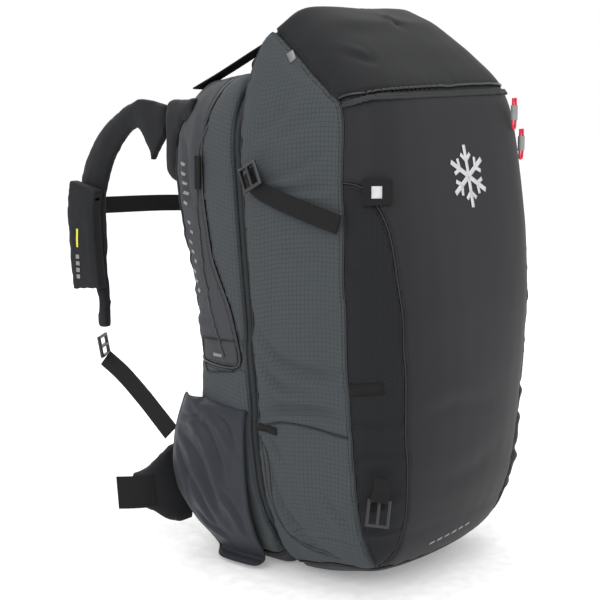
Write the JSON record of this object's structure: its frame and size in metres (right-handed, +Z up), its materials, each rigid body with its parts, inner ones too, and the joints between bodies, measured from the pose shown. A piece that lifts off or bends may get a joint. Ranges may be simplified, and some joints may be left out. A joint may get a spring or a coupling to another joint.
{
  "type": "avalanche airbag backpack",
  "caption": "Touring backpack with a fan-driven airbag base unit, padded shoulder straps and hip wings, and a zip-on front compartment under a hinged lid.",
  "frame": {"origin": "middle of the base unit's flat underside, on the ground", "axes": "+Z up; -Y out of the front panel; +Y towards the wearer's back and harness; +X towards the wearer's right"},
  "size_m": [0.3712, 0.5199, 0.606],
  "materials": {
    "ripstop": "matt ripstop weave",
    "stretch_face": "smooth matt stretch cloth",
    "lining": "coated lining",
    "pocket_cloth": "crinkled stretch cloth with a slight sheen",
    "foam": "mesh over foam",
    "webbing": "ribbed webbing",
    "red_grip": "satin",
    "buckle_plastic": "moulded acetal",
    "alloy": "brushed",
    "airbag_cloth": "coated nylon",
    "zip_tape": "coated zip tape",
    "unit_plastic": "moulded nylon"
  },
  "bodies": {
    "pack": {"side_panel_left": "ripstop", "side_panel_right": "ripstop", "gusset_left": "ripstop", "gusset_right": "ripstop", "airbag_cover_left": "ripstop", "airbag_cover_right": "ripstop", "base_side_left": "ripstop", "base_side_right": "ripstop", "strap_yoke_left": "ripstop", "strap_yoke_right": "ripstop", "air_duct": "ripstop", "front_panel": "stretch_face", "divider_wall": "lining", "bottom_panel": "lining", "base_front_wall": "lining", "base_bottom": "lining", "stretch_pocket_left": "pocket_cloth", "stretch_pocket_right": "pocket_cloth", "back_panel": "foam", "lumbar_pad": "foam", "compression_strap_left": "webbing", "compression_strap_right": "webbing", "label_loop": "webbing", "load_lifter_left": "webbing", "load_lifter_right": "webbing", "main_zipper": "zip_tape", "compression_lock_left": "buckle_plastic", "compression_lock_right": "buckle_plastic", "hook_buckle": "buckle_plastic", "frame_sheet": "unit_plastic", "fan_housing": "unit_plastic", "intake_grille": "unit_plastic", "battery_pack": "unit_plastic", "control_module": "unit_plastic", "frame_stay_left": "alloy", "frame_stay_right": "alloy", "fan_motor": "alloy", "airbag": "airbag_cloth"},
    "lid": {"lid": "stretch_face"},
    "fan": {"fan_rotor": "unit_plastic"},
    "haul_loop": {"haul_loop": "webbing"},
    "strap_left": {"shoulder_strap_left": "ripstop", "ladder_lock_left": "buckle_plastic", "lower_webbing_left": "webbing", "trigger_pouch": "ripstop", "sternum_webbing": "webbing", "sternum_tongue": "buckle_plastic"},
    "trigger": {"trigger_handle": "red_grip"},
    "strap_right": {"shoulder_strap_right": "ripstop", "ladder_lock_right": "buckle_plastic", "lower_webbing_right": "webbing", "sternum_catch": "buckle_plastic"},
    "wing_left": {"hip_wing_left": "ripstop", "hip_webbing_left": "webbing"},
    "wing_right": {"hip_wing_right": "ripstop", "hip_webbing_right": "webbing"},
    "pull_front": {"zip_pull_front": "red_grip"},
    "pull_side": {"zip_pull_side": "red_grip"},
    "pull_burst": {"burst_zip_pull": "webbing"}
  },
  "joints": [
    {"name": "lid_hinge", "type": "hinge", "parent": "pack", "child": "lid", "pos_m": [0, -0.031, 0.606], "axis": [-1, 0, 0], "range_deg": [0, 100]},
    {"name": "fan_spin", "type": "hinge", "parent": "pack", "child": "fan", "pos_m": [0, 0.008, 0.15], "axis": [0, 0, 1], "continuous": true},
    {"name": "haul_loop_swing", "type": "hinge", "parent": "pack", "child": "haul_loop", "pos_m": [0, 0.062, 0.5355], "axis": [1, 0, 0], "range_deg": [-60, 60]},
    {"name": "strap_left_swing", "type": "hinge", "parent": "pack", "child": "strap_left", "pos_m": [-0.1035, 0.138, 0.47], "axis": [0.0725, 0.0814, 0.994], "range_deg": [0, 35]},
    {"name": "trigger_pull", "type": "slide", "parent": "strap_left", "child": "trigger", "axis": [0, 0, -1], "range_m": [0, 0.018]},
    {"name": "strap_right_swing", "type": "hinge", "parent": "pack", "child": "strap_right", "pos_m": [0.1035, 0.138, 0.47], "axis": [0.0726, -0.0631, -0.9954], "range_deg": [0, 35]},
    {"name": "wing_left_swing", "type": "hinge", "parent": "pack", "child": "wing_left", "pos_m": [-0.1035, 0.112, 0.076], "axis": [0, 0, -1], "range_deg": [0, 60]},
    {"name": "wing_right_swing", "type": "hinge", "parent": "pack", "child": "wing_right", "pos_m": [0.1035, 0.112, 0.076], "axis": [0, 0, 1], "range_deg": [0, 60]},
    {"name": "zip_pull_front_swing", "type": "hinge", "parent": "pack", "child": "pull_front", "pos_m": [0.11, -0.186, 0.511], "axis": [-1, 0, 0], "range_deg": [0, 80]},
    {"name": "zip_pull_side_swing", "type": "hinge", "parent": "pack", "child": "pull_side", "pos_m": [0.141, -0.177, 0.476], "axis": [-0.6691, -0.7431, 0], "range_deg": [0, 80]},
    {"name": "burst_pull_swing", "type": "hinge", "parent": "pack", "child": "pull_burst", "pos_m": [-0.1435, 0.048, 0.451], "axis": [0, 1, 0], "range_deg": [0, 80]}
  ]
}
